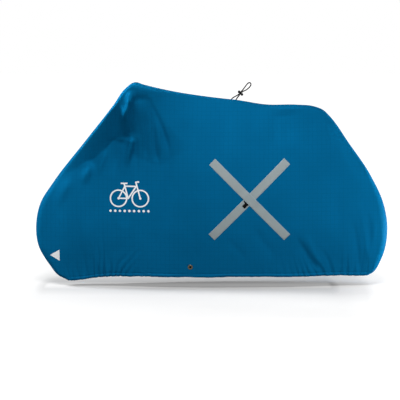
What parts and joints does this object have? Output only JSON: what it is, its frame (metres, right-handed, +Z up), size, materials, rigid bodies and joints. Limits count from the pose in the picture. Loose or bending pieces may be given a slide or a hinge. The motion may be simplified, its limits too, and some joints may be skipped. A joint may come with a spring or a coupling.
{
  "type": "bicycle cover",
  "caption": "Fitted cloth bicycle cover, shaped as it hangs over handlebar, saddle and wheels, with an elastic hem, hem eyelets, a reflective tape cross and a drawcord with its lock.",
  "frame": {"origin": "underside of the cloth over the top of the saddle, in the middle plane of the cover", "axes": "+Z up, +X from the front of the bicycle to its back, +Y to the bicycle's right side; the tape is on the left side, -Y"},
  "size_m": [1.7552, 0.5874, 0.9901],
  "materials": {
    "cloth": "coated ripstop, satin",
    "tape": "grey retroreflective, matte",
    "webbing": "woven, matte",
    "eyelet_metal": "antiqued",
    "cord": "braided, matte",
    "lock_plastic": "moulded, matte"
  },
  "bodies": {
    "root": {"side_panel_left": "cloth", "side_panel_right": "cloth", "eyelet_patch_left": "cloth", "eyelet_patch_right": "cloth", "eyelet_left": "eyelet_metal", "eyelet_right": "eyelet_metal", "reflective_tape_lower": "tape", "reflective_tape_upper": "tape", "webbing_tab": "webbing", "drawcord": "cord", "cord_lock_body": "lock_plastic", "cord_lock_button": "lock_plastic"}
  },
  "joints": []
}
